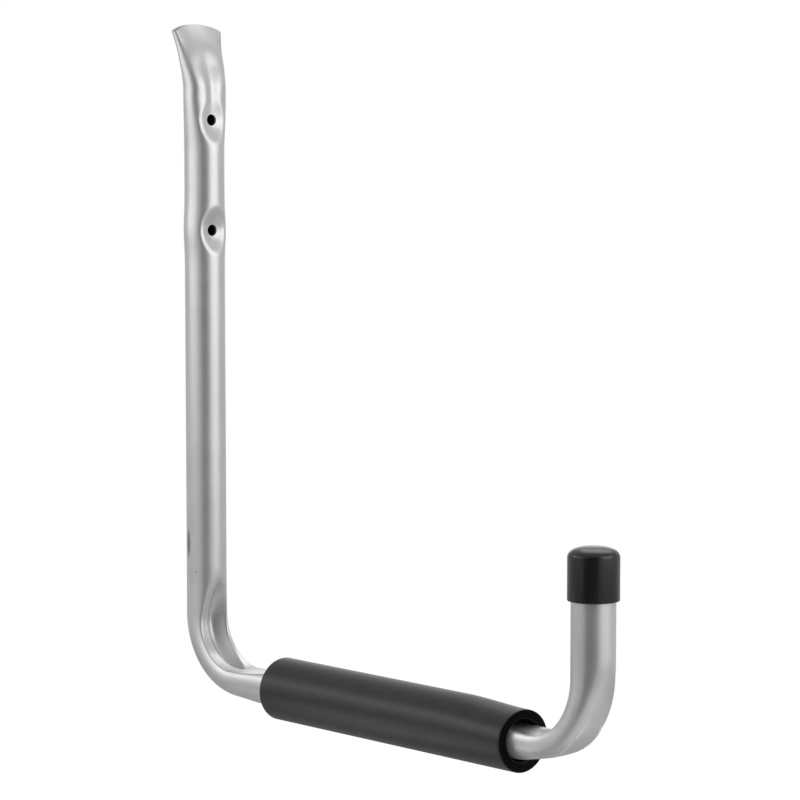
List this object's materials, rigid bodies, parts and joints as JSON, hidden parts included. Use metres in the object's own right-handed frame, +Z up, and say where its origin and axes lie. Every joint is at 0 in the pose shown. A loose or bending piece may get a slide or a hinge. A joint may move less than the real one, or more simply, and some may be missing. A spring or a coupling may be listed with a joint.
{
  "type": "garage utility hook",
  "caption": "Wall hook bent from steel tube into a J, with a foam sleeve on its level arm and a soft cap on its upturned end, for hanging ladders, hoses and tools.",
  "frame": {"origin": "on the wall plane, midway between the two screw holes", "axes": "+Y into the wall, -Y the way the hook reaches out, +Z up, +X sideways"},
  "size_m": [0.0292, 0.2809, 0.3243],
  "materials": {
    "tube": "satin silver finish on bent steel tube",
    "foam": "matte closed-cell foam with a moulded skin",
    "cap": "smooth black vinyl"
  },
  "bodies": {
    "root": {"hook_tube": "tube", "foam_sleeve": "foam", "end_cap": "cap"}
  },
  "joints": []
}
